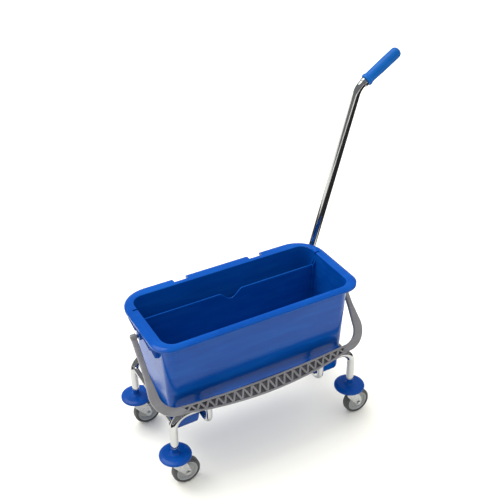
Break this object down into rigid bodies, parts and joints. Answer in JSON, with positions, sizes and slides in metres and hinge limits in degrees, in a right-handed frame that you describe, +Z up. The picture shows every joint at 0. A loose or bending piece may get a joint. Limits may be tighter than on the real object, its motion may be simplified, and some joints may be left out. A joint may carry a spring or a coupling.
{
  "type": "mopping bucket trolley",
  "caption": "Rectangular mopping bucket with a lift-out divider and swing handle, on a chromed tube trolley with swivel castors, bumper discs and a push handle.",
  "frame": {"origin": "the floor under the middle of the overall footprint", "axes": "+Z up, +X along the bucket towards the push handle's lean, +Y towards the side the push handle stands on"},
  "size_m": [0.9087, 0.357, 0.9989],
  "materials": {
    "blue_plastic": "glossy moulded",
    "bumper_blue": "glossy moulded",
    "grip_blue": "satin moulded",
    "grey_plastic": "satin moulded",
    "chromed_tube": "bright chrome",
    "zinc_plated": "bright zinc plate",
    "wheel_core": "satin moulded",
    "tyre_rubber": "matt"
  },
  "bodies": {
    "trolley": {"front_leg_tube": "chromed_tube", "rear_leg_tube": "chromed_tube", "left_cross_tube": "chromed_tube", "right_cross_tube": "chromed_tube", "left_stirrup": "chromed_tube", "right_stirrup": "chromed_tube", "push_handle_socket": "chromed_tube", "push_handle_bolt": "zinc_plated", "push_handle_shaft": "chromed_tube", "push_handle_grip": "grip_blue", "grip_collar": "chromed_tube", "left_front_stem": "zinc_plated", "left_rear_stem": "zinc_plated", "right_front_stem": "zinc_plated", "right_rear_stem": "zinc_plated"},
    "bucket": {"bucket": "blue_plastic", "left_pivot_pin": "zinc_plated", "right_pivot_pin": "zinc_plated"},
    "divider": {"divider": "blue_plastic"},
    "swing_handle": {"swing_handle": "grey_plastic"},
    "left_front_disc": {"left_front_bumper_disc": "bumper_blue"},
    "left_front_swivel": {"left_front_fork": "zinc_plated", "left_front_axle": "zinc_plated"},
    "left_front_wheel": {"left_front_wheel_core": "wheel_core", "left_front_tyre": "tyre_rubber"},
    "left_rear_disc": {"left_rear_bumper_disc": "bumper_blue"},
    "left_rear_swivel": {"left_rear_fork": "zinc_plated", "left_rear_axle": "zinc_plated"},
    "left_rear_wheel": {"left_rear_wheel_core": "wheel_core", "left_rear_tyre": "tyre_rubber"},
    "right_front_disc": {"right_front_bumper_disc": "bumper_blue"},
    "right_front_swivel": {"right_front_fork": "zinc_plated", "right_front_axle": "zinc_plated"},
    "right_front_wheel": {"right_front_wheel_core": "wheel_core", "right_front_tyre": "tyre_rubber"},
    "right_rear_disc": {"right_rear_bumper_disc": "bumper_blue"},
    "right_rear_swivel": {"right_rear_fork": "zinc_plated", "right_rear_axle": "zinc_plated"},
    "right_rear_wheel": {"right_rear_wheel_core": "wheel_core", "right_rear_tyre": "tyre_rubber"}
  },
  "joints": [
    {"name": "bucket_lift", "type": "slide", "parent": "trolley", "child": "bucket", "axis": [0, 0, 1], "range_m": [0, 0.32]},
    {"name": "divider_lift", "type": "slide", "parent": "bucket", "child": "divider", "axis": [0, 0, 1], "range_m": [0, 0.28]},
    {"name": "swing_handle_pivot", "type": "hinge", "parent": "bucket", "child": "swing_handle", "pos_m": [-0.12851, 0.005, 0.423], "axis": [-1, 0, 0], "range_deg": [0, 175]},
    {"name": "left_front_disc_turn", "type": "hinge", "parent": "trolley", "child": "left_front_disc", "pos_m": [-0.40948, -0.134, 0.11], "axis": [0, 0, 1], "continuous": true},
    {"name": "left_front_swivel_turn", "type": "hinge", "parent": "trolley", "child": "left_front_swivel", "pos_m": [-0.40948, -0.134, 0.09], "axis": [0, 0, 1], "continuous": true},
    {"name": "left_front_wheel_spin", "type": "hinge", "parent": "left_front_swivel", "child": "left_front_wheel", "pos_m": [-0.38248, -0.134, 0.04], "axis": [0, 1, 0], "continuous": true},
    {"name": "left_rear_disc_turn", "type": "hinge", "parent": "trolley", "child": "left_rear_disc", "pos_m": [-0.40948, 0.134, 0.11], "axis": [0, 0, 1], "continuous": true},
    {"name": "left_rear_swivel_turn", "type": "hinge", "parent": "trolley", "child": "left_rear_swivel", "pos_m": [-0.40948, 0.134, 0.09], "axis": [0, 0, 1], "continuous": true},
    {"name": "left_rear_wheel_spin", "type": "hinge", "parent": "left_rear_swivel", "child": "left_rear_wheel", "pos_m": [-0.38248, 0.134, 0.04], "axis": [0, 1, 0], "continuous": true},
    {"name": "right_front_disc_turn", "type": "hinge", "parent": "trolley", "child": "right_front_disc", "pos_m": [0.15247, -0.134, 0.11], "axis": [0, 0, 1], "continuous": true},
    {"name": "right_front_swivel_turn", "type": "hinge", "parent": "trolley", "child": "right_front_swivel", "pos_m": [0.15247, -0.134, 0.09], "axis": [0, 0, 1], "continuous": true},
    {"name": "right_front_wheel_spin", "type": "hinge", "parent": "right_front_swivel", "child": "right_front_wheel", "pos_m": [0.17947, -0.134, 0.04], "axis": [0, 1, 0], "continuous": true},
    {"name": "right_rear_disc_turn", "type": "hinge", "parent": "trolley", "child": "right_rear_disc", "pos_m": [0.15247, 0.134, 0.11], "axis": [0, 0, 1], "continuous": true},
    {"name": "right_rear_swivel_turn", "type": "hinge", "parent": "trolley", "child": "right_rear_swivel", "pos_m": [0.15247, 0.134, 0.09], "axis": [0, 0, 1], "continuous": true},
    {"name": "right_rear_wheel_spin", "type": "hinge", "parent": "right_rear_swivel", "child": "right_rear_wheel", "pos_m": [0.17947, 0.134, 0.04], "axis": [0, 1, 0], "continuous": true}
  ]
}
